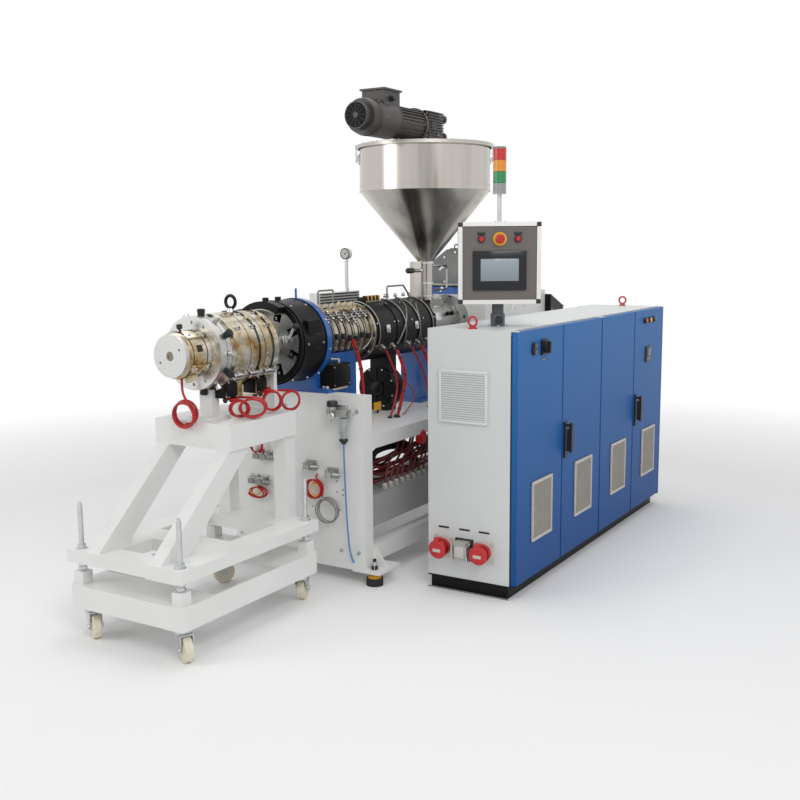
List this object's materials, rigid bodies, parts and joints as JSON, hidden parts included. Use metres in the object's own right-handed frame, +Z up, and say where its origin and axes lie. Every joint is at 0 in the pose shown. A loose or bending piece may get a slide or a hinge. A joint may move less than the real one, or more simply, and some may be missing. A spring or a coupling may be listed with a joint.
{
  "type": "plastic extruder",
  "caption": "Single-screw plastic extruder with die trolley, heated barrel, stirred hopper, drive on a steel base and a control cabinet with hinged doors and swivelling panel.",
  "frame": {"origin": "on the floor, under the middle of the machine's length and depth", "axes": "+X along the barrel from the die to the drive, cabinet doors facing -Y, +Z up"},
  "size_m": [3.6, 1.542, 2.304],
  "materials": {
    "white_enamel": "white enamel, semi-gloss",
    "cabinet_grey": "light grey powder coat",
    "door_blue": "blue powder coat",
    "machine_blue": "blue enamel",
    "black_enamel": "black powder coat",
    "plinth_black": "black powder coat",
    "steel": "machined steel",
    "brass_band": "mica heater band sheath",
    "zinc": "zinc plated",
    "stainless": "polished stainless steel",
    "cast_grey": "grey painted casting",
    "aluminium_frame": "anodised aluminium",
    "panel_grey": "warm grey front foil",
    "black_plastic": "black plastic",
    "control_plastic": "dark glossy plastic",
    "lamp_plastic": "coloured lens plastic",
    "socket_red": "red socket plastic",
    "lifting_red": "red enamel",
    "nylon": "cream nylon",
    "rubber": "black rubber",
    "lead_red": "red silicone insulation"
  },
  "bodies": {
    "root": {"barrel_boxes": "white_enamel", "barrel_heaters": "brass_band", "barrel_leads": "lead_red", "base_deck": "white_enamel", "base_end_plates": "white_enamel", "base_rails": "white_enamel", "black_covers": "black_enamel", "blower": "black_enamel", "blue_stands": "machine_blue", "cabinet_back": "cabinet_grey", "cabinet_plinth": "plinth_black", "cabinet_top": "cabinet_grey", "cabinet_walls": "cabinet_grey", "cable_trunk": "cast_grey", "cooling_tubes": "steel", "die_head": "steel", "die_heaters": "brass_band", "drive_flange": "steel", "feed_throat": "white_enamel", "front_lead_coil": "lead_red", "front_lead_tube": "lead_red", "gearbox": "white_enamel", "hopper": "stainless", "hopper_lid": "stainless", "levelling_feet": "rubber", "lifting_eyes": "lifting_red", "main_motor": "cast_grey", "motor_base": "machine_blue", "panel_collar": "cast_grey", "plug_sockets": "socket_red", "ring_clamp": "steel", "stirrer_drive": "cast_grey", "trolley_header": "white_enamel", "trolley_jack_screws": "zinc", "trolley_legs": "white_enamel", "trolley_lower_frame": "white_enamel", "trolley_upper_frame": "white_enamel"},
    "caster_fork_1": {"caster_fork_1": "zinc"},
    "caster_fork_2": {"caster_fork_2": "zinc"},
    "caster_fork_3": {"caster_fork_3": "zinc"},
    "caster_fork_4": {"caster_fork_4": "zinc"},
    "caster_wheel_1": {"caster_wheel_1": "nylon"},
    "caster_wheel_2": {"caster_wheel_2": "nylon"},
    "caster_wheel_3": {"caster_wheel_3": "nylon"},
    "caster_wheel_4": {"caster_wheel_4": "nylon"},
    "door_1": {"door_1": "door_blue", "door_1_controls": "black_plastic"},
    "door_2": {"door_2": "door_blue", "door_2_lock": "black_plastic"},
    "door_2_lever": {"door_2_lever": "black_plastic"},
    "door_3": {"door_3": "door_blue"},
    "door_4": {"door_4": "door_blue", "door_4_lock": "black_plastic"},
    "door_4_lever": {"door_4_lever": "black_plastic"},
    "main_switch_knob": {"main_switch_knob": "black_plastic"},
    "panel": {"panel_controls": "control_plastic", "panel_frame": "aluminium_frame", "panel_housing": "panel_grey", "panel_pole": "cast_grey", "signal_lamp": "lamp_plastic"}
  },
  "joints": [
    {"name": "door_1_hinge", "type": "hinge", "parent": "root", "child": "door_1", "pos_m": [-0.541, -0.727, 0.065], "axis": [0, 0, -1], "range_deg": [0, 110]},
    {"name": "door_2_hinge", "type": "hinge", "parent": "root", "child": "door_2", "pos_m": [0.437, -0.727, 0.065], "axis": [0, 0, 1], "range_deg": [0, 85]},
    {"name": "door_3_hinge", "type": "hinge", "parent": "root", "child": "door_3", "pos_m": [0.463, -0.727, 0.065], "axis": [0, 0, -1], "range_deg": [0, 85]},
    {"name": "door_4_hinge", "type": "hinge", "parent": "root", "child": "door_4", "pos_m": [1.441, -0.727, 0.065], "axis": [0, 0, 1], "range_deg": [0, 110]},
    {"name": "door_2_lever_turn", "type": "hinge", "parent": "door_2", "child": "door_2_lever", "pos_m": [-0.021, -0.751, 0.694], "axis": [0, -1, 0], "range_deg": [0, 90]},
    {"name": "door_4_lever_turn", "type": "hinge", "parent": "door_4", "child": "door_4_lever", "pos_m": [0.983, -0.751, 0.694], "axis": [0, -1, 0], "range_deg": [0, 90]},
    {"name": "main_switch_turn", "type": "hinge", "parent": "door_1", "child": "main_switch_knob", "pos_m": [-0.28, -0.743, 1.083], "axis": [0, -1, 0], "range_deg": [0, 90]},
    {"name": "panel_swivel", "type": "hinge", "parent": "root", "child": "panel", "pos_m": [-0.303, -0.518, 1.225], "axis": [0, 0, 1], "range_deg": [-90, 90]},
    {"name": "caster_swivel_1", "type": "hinge", "parent": "root", "child": "caster_fork_1", "pos_m": [-1.74, 0.081, 0.118], "axis": [0, 0, 1], "continuous": true},
    {"name": "caster_roll_1", "type": "hinge", "parent": "caster_fork_1", "child": "caster_wheel_1", "pos_m": [-1.758, 0.04982, 0.05], "axis": [0.866, -0.5, 0], "continuous": true},
    {"name": "caster_swivel_2", "type": "hinge", "parent": "root", "child": "caster_fork_2", "pos_m": [-1.74, 0.561, 0.118], "axis": [0, 0, 1], "continuous": true},
    {"name": "caster_roll_2", "type": "hinge", "parent": "caster_fork_2", "child": "caster_wheel_2", "pos_m": [-1.758, 0.52982, 0.05], "axis": [0.866, -0.5, 0], "continuous": true},
    {"name": "caster_swivel_3", "type": "hinge", "parent": "root", "child": "caster_fork_3", "pos_m": [-1.01, 0.081, 0.118], "axis": [0, 0, 1], "continuous": true},
    {"name": "caster_roll_3", "type": "hinge", "parent": "caster_fork_3", "child": "caster_wheel_3", "pos_m": [-0.97617, 0.09331, 0.05], "axis": [-0.342, 0.9397, 0], "continuous": true},
    {"name": "caster_swivel_4", "type": "hinge", "parent": "root", "child": "caster_fork_4", "pos_m": [-1.01, 0.561, 0.118], "axis": [0, 0, 1], "continuous": true},
    {"name": "caster_roll_4", "type": "hinge", "parent": "caster_fork_4", "child": "caster_wheel_4", "pos_m": [-0.97882, 0.543, 0.05], "axis": [0.5, 0.866, 0], "continuous": true}
  ]
}
